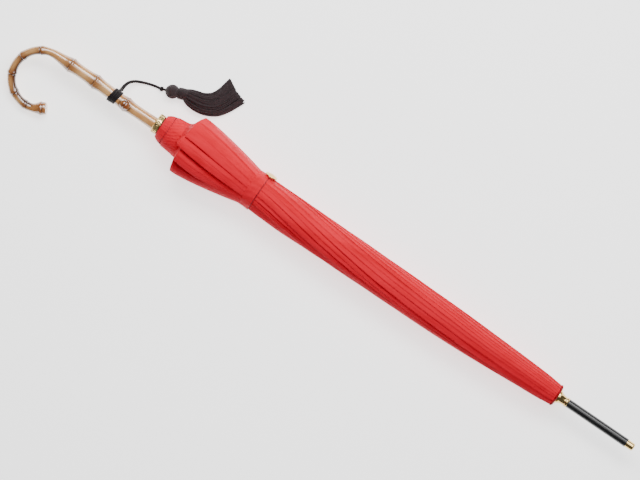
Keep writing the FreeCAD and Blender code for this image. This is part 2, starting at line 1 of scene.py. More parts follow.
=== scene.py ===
import math
import random
import bpy
import numpy as np
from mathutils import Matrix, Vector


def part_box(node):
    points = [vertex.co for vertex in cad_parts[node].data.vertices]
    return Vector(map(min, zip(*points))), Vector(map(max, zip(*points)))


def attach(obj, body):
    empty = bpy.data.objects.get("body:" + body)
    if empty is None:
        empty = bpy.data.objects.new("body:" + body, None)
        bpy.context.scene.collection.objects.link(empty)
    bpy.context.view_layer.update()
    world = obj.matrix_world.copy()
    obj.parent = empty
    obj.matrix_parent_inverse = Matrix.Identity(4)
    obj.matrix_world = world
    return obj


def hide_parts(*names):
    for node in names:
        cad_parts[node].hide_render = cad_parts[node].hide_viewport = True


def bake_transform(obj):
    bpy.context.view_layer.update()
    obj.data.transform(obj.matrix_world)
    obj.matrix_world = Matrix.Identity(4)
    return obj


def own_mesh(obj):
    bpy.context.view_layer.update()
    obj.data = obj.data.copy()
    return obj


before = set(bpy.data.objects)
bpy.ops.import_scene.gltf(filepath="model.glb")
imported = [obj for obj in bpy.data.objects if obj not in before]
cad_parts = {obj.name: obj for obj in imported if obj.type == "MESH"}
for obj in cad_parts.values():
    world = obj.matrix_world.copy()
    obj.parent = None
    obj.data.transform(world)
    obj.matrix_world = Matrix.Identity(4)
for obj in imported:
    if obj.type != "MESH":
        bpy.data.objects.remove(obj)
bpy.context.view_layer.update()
random.seed(7)

# Lengths in this script are millimetres along the shaft from the crook's outer edge (x), towards the tassel (y)
# and above the shaft (z), as in the part's source. at() turns them into the shared frame's metres.
TUBE_START_X = 820.0
tube_low, tube_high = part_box("ferrule_tube")
ORIGIN = np.array([
    tube_low[0] * 1000 - TUBE_START_X,
    500 * (tube_low[1] + tube_high[1]),
    500 * (tube_low[2] + tube_high[2]),
])
TABLE_Z = -ORIGIN[2]
RIBS = 8


def at(points):
    return (np.asarray(points, float) + ORIGIN) / 1000.0


def ramp(x, start, end):
    """Smooth step from 0 at start to 1 at end."""
    share = np.clip((np.asarray(x, float) - start) / (end - start), 0.0, 1.0)
    return share * share * (3 - 2 * share)


def along(x, table):
    """Smooth value from a short table of (x, value) rows."""
    xs = np.array([row[0] for row in table], float)
    ys = np.array([row[1] for row in table], float)
    slope = np.gradient(ys, xs)
    x = np.clip(np.asarray(x, float), xs[0], xs[-1])
    i = np.clip(np.searchsorted(xs, x) - 1, 0, len(xs) - 2)
    h = xs[i + 1] - xs[i]
    t = (x - xs[i]) / h
    a = (1 + 2 * t) * (1 - t) ** 2 * ys[i] + t * (1 - t) ** 2 * h * slope[i]
    b = t * t * (3 - 2 * t) * ys[i + 1] + t * t * (t - 1) * h * slope[i + 1]
    return a + b


# ---- camera: straight down, turned so that the shaft runs from upper left to lower right -----------------------
METRES_PER_PIXEL, PHOTO_WIDTH = 1.256e-3, 640
PHOTO_CENTRE, PHOTO_TURN = (447.4, -6.1, 0.0), 34.27
VIEW_HEIGHT = 8.0
camera_data = bpy.data.cameras.new("camera")
camera_data.sensor_width = 36.0
camera_data.lens = camera_data.sensor_width * VIEW_HEIGHT / (PHOTO_WIDTH * METRES_PER_PIXEL)
camera = bpy.data.objects.new("camera", camera_data)
bpy.context.scene.collection.objects.link(camera)
target = at(PHOTO_CENTRE)
camera.location = (target[0], target[1], target[2] + VIEW_HEIGHT)
camera.rotation_euler = (0.0, 0.0, math.radians(PHOTO_TURN))
bpy.context.scene.camera = camera

# ---- materials -------------------------------------------------------------------------------------------------
WEAVE_SCALE = 2600.0
SCRATCH_SCALE = 900.0
GOLD_COLOUR = (0.88, 0.63, 0.26)


class Nodes:
    """Short way to build a material's node tree."""

    def __init__(self, name, **constants):
        self.material = bpy.data.materials.new(name)
        self.material.use_nodes = True
        self.tree = self.material.node_tree
        self.shader = self.tree.nodes["Principled BSDF"]
        for key, value in constants.items():
            self.shader.inputs[key.replace("_", " ")].default_value = value

    def add(self, kind, inputs=None, **settings):
        node = self.tree.nodes.new(kind)
        for key, value in settings.items():
            setattr(node, key, value)
        for key, value in (inputs or {}).items():
            if isinstance(value, bpy.types.NodeSocket):
                self.tree.links.new(value, node.inputs[key])
            else:
                node.inputs[key].default_value = value
        return node

    def coords(self, scale=(1, 1, 1), kind="Object"):
        source = self.add("ShaderNodeTexCoord").outputs[kind]
        return self.add("ShaderNodeMapping", {"Vector": source, "Scale": scale}).outputs[0]

    def noise(self, vector, scale, detail=3.0, rough=0.5):
        inputs = {"Vector": vector, "Scale": scale, "Detail": detail, "Roughness": rough}
        return self.add("ShaderNodeTexNoise", inputs).outputs["Fac"]

    def wave(self, vector, scale, distortion, direction):
        inputs = {"Vector": vector, "Scale": scale, "Distortion": distortion}
        return self.add("ShaderNodeTexWave", inputs, bands_direction=direction).outputs["Fac"]

    def ramp(self, factor, *stops):
        node = self.add("ShaderNodeValToRGB", {"Fac": factor})
        elements = node.color_ramp.elements
        while len(elements) < len(stops):
            elements.new(0.5)
        for element, (place, colour) in zip(elements, stops):
            element.position = place
            element.color = (*colour, 1.0)
        return node.outputs[0]

    def mix(self, factor, a, b):
        return self.add("ShaderNodeMix", {0: factor, 6: a, 7: b}, data_type="RGBA").outputs[2]

    def math(self, operation, a, b=0.0, c=0.0):
        return self.add("ShaderNodeMath", {0: a, 1: b, 2: c}, operation=operation).outputs[0]

    def attribute(self, name):
        return self.add("ShaderNodeAttribute", attribute_name=name).outputs["Fac"]

    def link(self, socket, key):
        self.tree.links.new(socket, self.shader.inputs[key])

    def bump(self, height, strength, distance):
        inputs = {"Height": height, "Strength": strength, "Distance": distance}
        self.link(self.add("ShaderNodeBump", inputs).outputs[0], "Normal")


def cloth(name, dark, mid, light):
    """Plain weave in three soft tones."""
    m = Nodes(name, Roughness=0.55, Specular_IOR_Level=0.14, Specular_Tint=(1.0, 0.25, 0.23, 1.0))
    soft = m.noise(m.coords((6, 40, 40)), 3.0, 4.0)
    tone = m.ramp(soft, (0.3, dark), (0.5, mid), (0.72, light))
    uv = m.coords(kind="UV")
    warp = m.wave(uv, WEAVE_SCALE, 0.4, "X")
    weft = m.wave(uv, WEAVE_SCALE, 0.4, "Y")
    threads = m.math("MULTIPLY", warp, weft)
    m.link(m.mix(m.math("MULTIPLY", threads, 0.10), tone, (*dark, 1.0)), "Base Color")
    m.bump(threads, 0.25, 0.00012)
    return m.material


def metal(name, colour, rough):
    """Polished metal with fine scratches and slightly darker patches."""
    m = Nodes(name, Metallic=1.0)
    fine = m.noise(m.coords((1, 6, 6)), SCRATCH_SCALE, 3.0)
    blot = m.noise(m.coords(), 60.0, 3.0)
    dark = tuple(0.82 * c for c in colour)
    m.link(m.ramp(blot, (0.3, dark), (0.7, colour)), "Base Color")
    m.link(m.math("MULTIPLY_ADD", fine, 0.16, rough - 0.08), "Roughness")
    m.bump(fine, 0.06, 0.00004)
    return m.material


def lacquer(name, colour, rough, coat=0.0):
    """Paint or dyed thread, with a clear coat if asked."""
    m = Nodes(name, Coat_Weight=coat, Coat_Roughness=0.05)
    blot = m.noise(m.coords(), 120.0, 4.0)
    light = tuple(min(1.0, 1.5 * c + 0.004) for c in colour)
    m.link(m.ramp(blot, (0.35, colour), (0.75, light)), "Base Color")
    m.link(m.math("MULTIPLY_ADD", blot, 0.12, rough - 0.06), "Roughness")
    m.bump(m.noise(m.coords(), 1500.0, 2.0), 0.04, 0.00004)
    return m.material


def yarn(name, colour, light):
    """Twisted yarn: slanted plies with a little fuzz."""
    m = Nodes(name, Roughness=0.6, Sheen_Weight=0.06, Sheen_Roughness=0.45, Specular_IOR_Level=0.25)
    ply = m.wave(m.coords(kind="UV"), 1.0, 1.0, "DIAGONAL")
    fuzz = m.noise(m.coords(), 900.0, 4.0)
    tone = m.math("MULTIPLY_ADD", ply, 0.6, m.math("MULTIPLY", fuzz, 0.4))
    m.link(m.ramp(tone, (0.2, colour), (0.9, light)), "Base Color")
    m.bump(ply, 0.5, 0.0004)
    return m.material


def cane_material():
    """Lacquered cane: pale between the nodes, amber and brown round them, with long fibres, and painted shade along
    the crook's inner side.
    """
    m = Nodes("cane", Coat_Weight=1.0, Coat_Roughness=0.04, Coat_IOR=1.95)
    lengthwise = m.coords((3, 60, 1), "UV")
    fibres = m.noise(lengthwise, 4.0, 5.0, 0.6)
    blot = m.noise(m.coords(), 42.0, 4.0, 0.55)
    pale = m.ramp(blot, (0.32, (0.68, 0.29, 0.085)), (0.52, (0.84, 0.44, 0.16)), (0.75, (0.92, 0.58, 0.26)))
    streak = m.mix(m.math("MULTIPLY", fibres, 0.35), pale, (0.36, 0.14, 0.03, 1.0))
    # The amber and groove attributes also carry painted shade along the inner side of the crook.
    amber_and_shade = m.mix(m.attribute("amber_and_shade"), streak, (0.25, 0.065, 0.010, 1.0))
    m.link(m.mix(m.attribute("groove_and_shade"), amber_and_shade, (0.04, 0.012, 0.004, 1.0)), "Base Color")
    m.link(m.math("MULTIPLY_ADD", fibres, 0.2, 0.14), "Roughness")
    m.bump(m.noise(lengthwise, 9.0, 3.0), 0.12, 0.0002)
    return m.material


def collar_material():
    """Gold with the black pattern that the mesh attribute "ink" marks."""
    m = Nodes("collar_gold", Metallic=0.9)
    m.link(m.mix(m.attribute("ink"), (*GOLD_COLOUR, 1.0), (0.006, 0.005, 0.004, 1.0)), "Base Color")
    m.link(m.math("MULTIPLY_ADD", m.noise(m.coords(), 700.0), 0.14, 0.16), "Roughness")
    return m.material


RED = cloth("red_cloth", (0.64, 0.007, 0.020), (0.74, 0.010, 0.028), (0.80, 0.015, 0.036))
RED_DARK = cloth("red_binding", (0.22, 0.003, 0.008), (0.33, 0.005, 0.010), (0.42, 0.01, 0.014))
GOLD = metal("pale_gold", GOLD_COLOUR, 0.16)
STEEL = metal("steel", (0.55, 0.55, 0.56), 0.34)
BLACK_GLOSS = lacquer("black_gloss", (0.003, 0.003, 0.004), 0.4, 0.5)
BLACK_SATIN = lacquer("black_satin", (0.02, 0.02, 0.021), 0.42)
YARN = yarn("dark_yarn", (0.010, 0.006, 0.007), (0.075, 0.050, 0.054))
THREAD = lacquer("dark_thread", (0.10, 0.008, 0.012), 0.6)
CANE = cane_material()

# Nodes that keep their CAD shape.
RIB_PARTS = [kind + "_%d" % k for kind in ("rib", "stretcher") for k in range(RIBS)]
for material, names in (
    (BLACK_SATIN, ["shaft", "tip_cup", "runner", "crown"]),
    (BLACK_GLOSS, ["ferrule_tube"]),
    (GOLD, ["handle_pin", "cap_seat", "ferrule_tip"]),
    (STEEL, ["crown_wire", "crown_pin", "bottom_catch", "top_catch"] + RIB_PARTS),
):
    for name in names:
        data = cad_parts[name].data
        data.materials.clear()
        data.materials.append(material)

# ---- mesh helpers ----------------------------------------------------------------------------------------------


def piece(name, points, faces, material, body, uv=None, attributes=None):
    """Object from points and faces. A piece without a body is left unattached here."""
    mesh = bpy.data.meshes.new(name)
    mesh.from_pydata([tuple(p) for p in at(points)], [], [tuple(f) for f in faces])
    mesh.materials.append(material)
    if uv is not None:
        layer = mesh.uv_layers.new(name="uv")
        loops = np.empty(len(mesh.loops), dtype=np.int32)
        mesh.loops.foreach_get("vertex_index", loops)
        layer.data.foreach_set("uv", np.asarray(uv, np.float32)[loops].ravel())
    for key, values in (attributes or {}).items():
        attribute = mesh.attributes.new(key, "FLOAT", "POINT")
        attribute.data.foreach_set("value", np.asarray(values, np.float32))
    mesh.polygons.foreach_set("use_smooth", [True] * len(mesh.polygons))
    mesh.update()
    obj = bpy.data.objects.new(name, mesh)
    bpy.context.scene.collection.objects.link(obj)
    if body:
        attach(obj, body)
    return obj


def grid(rows, cols, close=False):
    """Faces of a rows by cols grid of points, closed round the columns if asked."""
    faces = []
    for i in range(rows - 1):
        for j in range(cols if close else cols - 1):
            k = (j + 1) % cols
            faces.append((i * cols + j, i * cols + k, (i + 1) * cols + k, (i + 1) * cols + j))
    return faces


def full_turn(count):
    """Equal steps of angle round a circle."""
    return 2 * np.pi * np.arange(count) / count


def ring(x, r, angles):
    """Points round the X axis. x and r are numbers or one per angle."""
    return np.stack([x + 0 * angles, r * np.cos(angles), r * np.sin(angles)], 1)


def lathe(outline, around, closed=True):
    """Points and faces of a solid of revolution round X. The outline is (x, radius) rows."""
    angles = full_turn(around)
    points = np.concatenate([ring(x, r, angles) for x, r in outline])
    faces = grid(len(outline), around, True)
    if closed:
        faces += [tuple(range(around)), tuple(range(len(points) - 1, len(points) - around - 1, -1))]
    return points, faces


def frames_along(path):
    """Unit side and up of each point of a path."""
    ahead = np.gradient(path, axis=0)
    ahead /= np.linalg.norm(ahead, axis=1)[:, None]
    side = np.cross([0, 0, 1.0], ahead)
    side /= np.linalg.norm(side, axis=1)[:, None]
    return side, np.cross(ahead, side)


def tube(path, radius, around, caps=True):
    """Points and faces of a round tube along a path. radius is a number or one per point."""
    path = np.asarray(path, float)
    side, up = frames_along(path)
    radius = np.broadcast_to(radius, len(path))
    angles = full_turn(around)
    section = side[:, None] * np.cos(angles)[None, :, None] + up[:, None] * np.sin(angles)[None, :, None]
    points = (path[:, None] + radius[:, None, None] * section).reshape(-1, 3)
    faces = grid(len(path), around, True)
    if caps:
        faces += [tuple(range(around))[::-1], tuple(range(len(points) - around, len(points)))]
    return points, faces


def join(shapes):
    """Several (points, faces) as one."""
    points, faces, start = [], [], 0
    for p, f in shapes:
        points.append(p)
        faces += [tuple(i + start for i in face) for face in f]
        start += len(p)
    return np.concatenate(points), faces


# ---- tassel cord -----------------------------------------------------------------------------------------------
CORD_POINTS = (
    (135.0, 8.6, -5.0),
    (134.6, 17.8, -11.5),
    (140.5, 27.3, -19.5),
    (154.0, 33.6, -25.0),
    (167.0, 37.6, -25.3),
    (173.4, 38.4, -24.0),
)
CORD_DIAMETER = 2.8
curve = bpy.data.curves.new("tassel_core", "CURVE")
curve.dimensions = "3D"
curve.resolution_u = 16
curve.bevel_depth = 0.5 * CORD_DIAMETER / 1000
curve.bevel_resolution = 4
curve.use_fill_caps = True
spline = curve.splines.new("NURBS")
spline.points.add(len(CORD_POINTS) - 1)
for point, place in zip(spline.points, at(CORD_POINTS)):
    point.co = (*place, 1.0)
spline.order_u = 3
spline.use_endpoint_u = True
curve.materials.append(YARN)
cord = bpy.data.objects.new("tassel_core", curve)
bpy.context.scene.collection.objects.link(cord)
bpy.context.view_layer.update()

# The cord's own line, for the strands round it.
bare = curve.copy()
bare.bevel_depth = 0.0
bare_object = bpy.data.objects.new("route", bare)
route_mesh = bpy.data.meshes.new_from_object(bare_object)
route = np.array([v.co for v in route_mesh.vertices]) * 1000 - ORIGIN
bpy.data.objects.remove(bare_object)
bpy.data.curves.remove(bare)
route_at = np.concatenate([[0.0], np.cumsum(np.linalg.norm(np.diff(route, axis=0), axis=1))])
CORD_LENGTH = float(route_at[-1])
STRANDS, STRAND_STEPS, STRAND_SIDES = 3, 150, 8
STRAND_OFFSET, STRAND_R, STRAND_PITCH = 0.9, 0.95, 9.0


def cord_strand(phase):
    """One strand: a helix round the cord's line, looser near the band."""
    s = np.linspace(0, CORD_LENGTH, STRAND_STEPS)
    loosened = 1 + 0.5 * np.exp(-s / 18.0)
    middle = np.stack([np.interp(s, route_at, route[:, i]) for i in range(3)], 1)
    side, up = frames_along(middle)
    turn = (2 * np.pi * s / STRAND_PITCH + phase)[:, None]
    path = middle + (STRAND_OFFSET * loosened)[:, None] * (side * np.cos(turn) + up * np.sin(turn))
    return tube(path, STRAND_R * loosened, STRAND_SIDES)


points, faces = join([cord_strand(phase) for phase in full_turn(STRANDS)])
cord_strands = piece("tassel_strands", points, faces, YARN, "tassel")
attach(cord, "tassel")
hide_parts("tassel_cord")

# ---- tassel: knot, head, wrapped neck and skirt ----------------------------------------------------------------
TASSEL_TURN = math.radians(21.0)
KNOT = np.array([175.2, 38.8, -23.6])
HEAD = np.array([188.8, 43.7, -18.2])
NECK = np.array([200.4, 48.3, -19.5])
HEAD_R, NECK_R = 9.0, 7.4


def placed(points, centre):
    """Points made along X, turned to the tassel's heading and moved to their centre."""
    c, s = math.cos(TASSEL_TURN), math.sin(TASSEL_TURN)
    return points @ np.array([[c, -s, 0], [s, c, 0], [0, 0, 1]]).T + centre


def rested(points):
    """Points of a piece, none of them below the table that it lies on."""
    return np.stack([points[:, 0], points[:, 1], np.maximum(points[:, 2], TABLE_Z)], 1)


KNOT_LOOP, KNOT_CORD_R = (1.5, 2.0, 1.2), 1.2


def knot_loop(phase):
    """One of the knot's two loops, which lie over each other."""
    t = np.linspace(0, 2 * np.pi, 40)
    wide, long, high = KNOT_LOOP
    loop = np.stack([wide * np.cos(t), long * np.sin(t), high * np.sin(2 * t + phase)], 1)
    c, s = math.cos(phase), math.sin(phase)
    return tube(loop @ np.array([[c, 0, s], [0, 1, 0], [-s, 0, c]]), KNOT_CORD_R, 8)


LINK_OFFSET, LINK_CORD_R, LINK_TWIST = 0.6, 1.0, 9.0
LINK_SIDE = np.array([-0.35, 0.94, 0.0])
link_share = np.linspace(0, 1, 20)[:, None]
link = KNOT + (HEAD - KNOT) * 0.7 * link_share


def link_cord(phase):
    """One of the two cords twisted together between the knot and the head."""
    lift = np.array([0.0, 0.0, LINK_OFFSET]) * np.sin(phase + LINK_TWIST * link_share)
    return tube(link + LINK_OFFSET * math.cos(phase) * LINK_SIDE + lift, LINK_CORD_R, 8)


points, faces = join([knot_loop(0.0), knot_loop(0.5 * math.pi)])
points, faces = join([(placed(points, KNOT), faces), link_cord(0.0), link_cord(3.1)])
knot = piece("tassel_knot_loops", points, faces, YARN, "tassel")
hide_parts("tassel_knot")

HEAD_RIDGES, HEAD_ROWS, HEAD_AROUND = 30, 49, 180
angles = full_turn(HEAD_AROUND)
polar = np.linspace(0, np.pi, HEAD_ROWS)
rows = []
for a in polar:
    ridge = 1 + 0.028 * np.abs(np.sin(0.5 * HEAD_RIDGES * angles + 0.6 * a)) * math.sin(a)
    rows.append(ring(-1.02 * HEAD_R * math.cos(a), 0.98 * HEAD_R * math.sin(a) * ridge, angles))
points = rested(placed(np.concatenate(rows), HEAD))
ball_uv = np.stack([np.repeat(polar, HEAD_AROUND) * 4.0, np.tile(angles, HEAD_ROWS) * 15.0], 1)
faces = grid(HEAD_ROWS, HEAD_AROUND, True)
head = piece("tassel_ball", points, faces, YARN, "tassel", uv=ball_uv)
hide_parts("tassel_head")

COILS, COIL_PITCH, COIL_R, COIL_SIDES, COIL_AROUND = 9, 1.15, 0.66, 8, 48
FIRST_COIL = -4.6
NECK_CORE = ((-7, 5.0), (-4.6, 6.4), (4.6, 6.6), (6.5, 6.8))
coils = []
for i in range(COILS):
    x = FIRST_COIL + COIL_PITCH * i
    r = NECK_R - 0.6 + 0.35 * math.sin(math.pi * i / (COILS - 1))
    section = [(x + COIL_R * math.cos(b), r + COIL_R * math.sin(b)) for b in full_turn(COIL_SIDES)]
    coils.append(lathe(section + section[:1], COIL_AROUND, closed=False))
points, faces = join(coils + [lathe(NECK_CORE, COIL_AROUND, closed=False)])
wrap_uv = np.stack([points[:, 0] * 2.0, np.arctan2(points[:, 2], points[:, 1]) * 12.0], 1)
neck = piece("tassel_wrap", rested(placed(points, NECK)), faces, YARN, "tassel", uv=wrap_uv)
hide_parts("tassel_neck")

# The skirt's strands leave the neck, spread, bend towards +Y and lie on the table. Each row is the skirt's middle
# (x, y), its heading in degrees, and its half width and half height there.
SKIRT_ROWS = (
    (203.4, 49.2, 20.0, 6.8, 6.6),
    (210.0, 49.8, 13.0, 10.2, 6.8),
    (220.0, 50.6, 20.0, 12.8, 6.2),
    (231.8, 53.5, 35.0, 14.5, 5.6),
    (242.2, 60.2, 47.0, 15.3, 4.8),
    (248.5, 70.5, 58.0, 15.8, 4.3),
    (252.5, 82.0, 65.0, 16.9, 3.8),
    (255.5, 92.0, 67.0, 17.6, 3.3),
)
SKIRT_STRANDS, SKIRT_STEPS, SKIRT_SIDES, SKIRT_STRAND_R = 300, 26, 6, 0.78
share = np.linspace(0, 1, len(SKIRT_ROWS))
skirt_tables = [list(zip(share, column)) for column in zip(*SKIRT_ROWS)]
skirt_strands = []
for _ in range(SKIRT_STRANDS):
    angle = random.uniform(0, 2 * math.pi)
    depth = math.sqrt(random.random())
    u, v = depth * math.cos(angle), depth * math.sin(angle)
    length = random.uniform(0.955, 1.0) - 0.03 * (1 - abs(u))
    drift = random.uniform(-0.10, 0.10)
    lift = random.uniform(0.0, 1.0)
    t = np.linspace(0.0, length, SKIRT_STEPS)
    x, y, heading, wide, high = [along(t, table) for table in skirt_tables]
    heading = np.radians(heading)
    across = np.clip(u + drift * t * t + 0.025 * np.sin(9 * t + 6 * lift), -1.02, 1.02) * wide
    z = np.maximum(TABLE_Z + high + v * high, TABLE_Z + 0.75)
    path = np.stack([x - np.sin(heading) * across, y + np.cos(heading) * across, z], 1)
    skirt_strands.append(tube(path, SKIRT_STRAND_R, SKIRT_SIDES))
points, faces = join(skirt_strands)
one_uv = np.stack([
    np.tile(np.arange(SKIRT_SIDES), SKIRT_STEPS) * 0.9,
    np.repeat(np.arange(SKIRT_STEPS), SKIRT_SIDES) * 6.0,
], 1)
skirt_uv = np.tile(one_uv, (SKIRT_STRANDS, 1))
skirt = piece("tassel_fringe", points, faces, YARN, "tassel", uv=skirt_uv)
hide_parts("tassel_skirt")

# ---- handle ----------------------------------------------------------------------------------------------------
HANDLE_END = 193.5
CROOK_X, CROOK_R, CROOK_OFFSET = 44.6, 38.2, 0.5
HOOK_R, HOOK_TURN, END_STRAIGHT = 26.0, math.radians(33.0), 13.0
CROOK_DROP = math.radians(15.693)
GRIP_LENGTH = HANDLE_END - CROOK_X
CROOK_LENGTH = math.pi * CROOK_R
HOOK_LENGTH = HOOK_TURN * HOOK_R
CANE_LENGTH = GRIP_LENGTH + CROOK_LENGTH + HOOK_LENGTH + END_STRAIGHT
BOW = (2.0, 105.0, 150.0)


def cane_line(s):
    """Centre line as (x, offset) and heading, at the distance s from the collar."""
    if s < GRIP_LENGTH:
        x = HANDLE_END - s
        rise, start, end = BOW
        offset = CROOK_OFFSET + rise * float(ramp(x, start, end))
        slope = rise * float(ramp(x - 0.5, start, end) - ramp(x + 0.5, start, end))
        return x, offset, math.atan(slope)
    s -= GRIP_LENGTH
    if s < CROOK_LENGTH:
        turn = s / CROOK_R
        return CROOK_X - CROOK_R * math.sin(turn), CROOK_OFFSET + CROOK_R * (1 - math.cos(turn)), turn
    s -= CROOK_LENGTH
    turn = min(s / HOOK_R, HOOK_TURN)
    rest = max(s - HOOK_LENGTH, 0.0)
    x = CROOK_X + HOOK_R * math.sin(turn) + rest * math.cos(turn)
    offset = CROOK_OFFSET + 2 * CROOK_R - HOOK_R * (1 - math.cos(turn)) - rest * math.sin(turn)
    return x, offset, math.pi + turn


def in_crook_plane(along_x, offset):
    """Point or direction in the plane that the crook lies in, which drops towards the table."""
    return np.array([along_x, -offset * math.cos(CROOK_DROP), -offset * math.sin(CROOK_DROP)])


# Ring nodes as (distance, rise, width). Each has a groove NODE_GROOVE after its middle.
GRIP_NODE_S = [HANDLE_END - x for x in (150.0, 102.5, 65.5)]
CROOK_NODE_S = [GRIP_LENGTH + math.radians(a) * CROOK_R for a in (31.7, 70.7, 110.0, 148.0, 180.0)]
END_NODE_S = CANE_LENGTH - 6.5
CANE_NODES = [(s, 2.1, 6.5) for s in GRIP_NODE_S] + [(s, 1.0, 4.5) for s in CROOK_NODE_S] + [(END_NODE_S, 1.7, 5.0)]
NODE_GROOVE = 1.7
GRIP_R, GRIP_TAPER, CROOK_TAPER, END_FLARE = 8.4, 0.35, 2.75, 2.1


def cane_radius(s):
    r = GRIP_R - GRIP_TAPER * float(ramp(s, 0, 18))
    r -= CROOK_TAPER * float(ramp(s, 0.87 * GRIP_LENGTH, GRIP_LENGTH + 12))
    r += END_FLARE * float(ramp(s, CANE_LENGTH - 22, CANE_LENGTH - 6))
    for centre, rise, width in CANE_NODES:
        d = s - centre
        r += rise * (0.72 * math.exp(-((d / width) ** 2)) + 0.28 * math.exp(-(((d + 0.8) / 1.5) ** 2)))
        r -= 0.42 * math.exp(-(((d - NODE_GROOVE) / 0.7) ** 2))
    return r


NORMAL = np.array([0, -math.sin(CROOK_DROP), math.cos(CROOK_DROP)])
CANE_AROUND, FINE_STEP, STEP = 72, 0.35, 1.1
END_ROUNDING = 0.8
END_FACE_SCALES = (0.9, 0.72, 0.5, 0.25, 0.04)
BUD_S, BUD_LENGTH, BUD_WIDTH = GRIP_NODE_S[0] + 0.5, 6.0, 0.52
cane_s = [0.0]
while cane_s[-1] < CANE_LENGTH - 1e-6:
    near = min(abs(cane_s[-1] - centre) for centre, _, _ in CANE_NODES)
    cane_s.append(min(cane_s[-1] + (FINE_STEP if near < 5 else STEP), CANE_LENGTH))
phi = full_turn(CANE_AROUND)
bud_angle = (phi + np.pi) % (2 * np.pi) - np.pi
points, uv, amber_and_shade, groove_and_shade = [], [], [], []
for s in cane_s:
    x, offset, turn = cane_line(s)
    ahead = in_crook_plane(-math.cos(turn), math.sin(turn))
    side = np.cross(ahead, NORMAL)
    wobble = np.sin(2 * phi + 0.05 * s) * 0.12 + np.sin(3 * phi - 0.09 * s) * 0.08
    bud_reach = np.hypot((s - BUD_S) / BUD_LENGTH, bud_angle / BUD_WIDTH)
    bud = np.exp(-(bud_reach ** 2))
    lip = np.exp(-(((bud_reach - 1.25) / 0.16) ** 2))
    r = cane_radius(s) + wobble + 1.5 * bud - 0.45 * lip
    if s > CANE_LENGTH - END_ROUNDING:
        past = (s - CANE_LENGTH + END_ROUNDING) / END_ROUNDING
        r = r - 0.7 * (1 - math.sqrt(max(0.0, 1 - past ** 2)))
    across = NORMAL * np.cos(phi)[:, None] + side * np.sin(phi)[:, None]
    points.append(in_crook_plane(x, offset) + r[:, None] * across)
    uv.append(np.stack([np.full(CANE_AROUND, s / 10), phi / (2 * np.pi)], 1))
    tint = sum(math.exp(-(((s - centre) / (1.5 * width)) ** 2)) for centre, _, width in CANE_NODES)
    line = sum(math.exp(-(((s - centre - NODE_GROOVE) / 0.55) ** 2)) for centre, _, _ in CANE_NODES)
    on_crook = float(ramp(s, GRIP_LENGTH - 10, GRIP_LENGTH + 30))
    # Painted shade: the colour is darkened along the inner side of the crook, through the amber and groove
    # attributes.
    inner = np.clip(np.cos(phi + 1.0), 0, 1) ** 4 * on_crook * float(ramp(CANE_LENGTH - s, 12, 24))
    amber_and_shade.append(np.clip(0.75 * tint + 0.6 * inner + 0.5 * bud + 0.06 * on_crook, 0, 1))
    groove_and_shade.append(np.clip(0.9 * line + 0.8 * lip + 0.95 * inner, 0, 1))
rim = points[-1]
centre = rim.mean(0)
for k, scale in enumerate(END_FACE_SCALES):
    points.append(centre + (rim - centre) * scale - ahead * 0.25 * math.sin(math.pi * scale))
    uv.append(np.stack([np.full(CANE_AROUND, CANE_LENGTH / 10 + 0.3 * k), phi / (2 * np.pi)], 1))
    amber_and_shade.append(np.full(CANE_AROUND, 0.25))
    groove_and_shade.append(np.full(CANE_AROUND, 0.12 + 0.12 * math.cos(9 * scale)))
faces = grid(len(points), CANE_AROUND, True)
faces.append(tuple(range(CANE_AROUND))[::-1])
cane = piece(
    "cane_handle", rested(np.concatenate(points)), faces, CANE, "frame", uv=np.concatenate(uv),
    attributes={"amber_and_shade": np.concatenate(amber_and_shade), "groove_and_shade": np.concatenate(groove_and_shade)},
)
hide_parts("handle")

# Band round the grip: four turns of flat braid, slightly slanted, and the root of the cord.
BAND_X, BAND_R, BAND_TURNS, BAND_STEP, BAND_SLANT = 132.8, 9.0, 4, 2.8, 1.4
BRAID = np.array([
    [-1.5, 0.0], [-1.1, 0.75], [0.0, 1.0], [1.1, 0.75], [1.5, 0.0], [1.1, -0.75], [0, -1.4], [-1.1, -0.75],
])
a = np.linspace(0, 2 * np.pi, 73)
out = ring(0.0, 1.0, a)
_, offset, _ = cane_line(HANDLE_END - BAND_X)
shapes = []
for i in range(BAND_TURNS):
    r = BAND_R + 0.25 * math.sin(1.7 * i)
    loop = ring(BAND_X - 4.2 + BAND_STEP * i + BAND_SLANT * np.cos(a), r, a) + in_crook_plane(0, offset)
    braid = loop[:, None] + BRAID[None, :, 0, None] * np.array([1.0, 0, 0]) + BRAID[None, :, 1, None] * out[:, None]
    shapes.append((braid.reshape(-1, 3), grid(len(a), len(BRAID), True)))
t = np.linspace(0, 1, 12)
root = np.stack([134.2 + 0 * t, 4.0 + 7.0 * t, 2.5 - 7.6 * t * t], 1)
shapes.append(tube(root, 2.0 - 0.4 * t, 10))
points, faces = join(shapes)
band = piece("grip_wrap", points, faces, YARN, "frame")
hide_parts("grip_band")

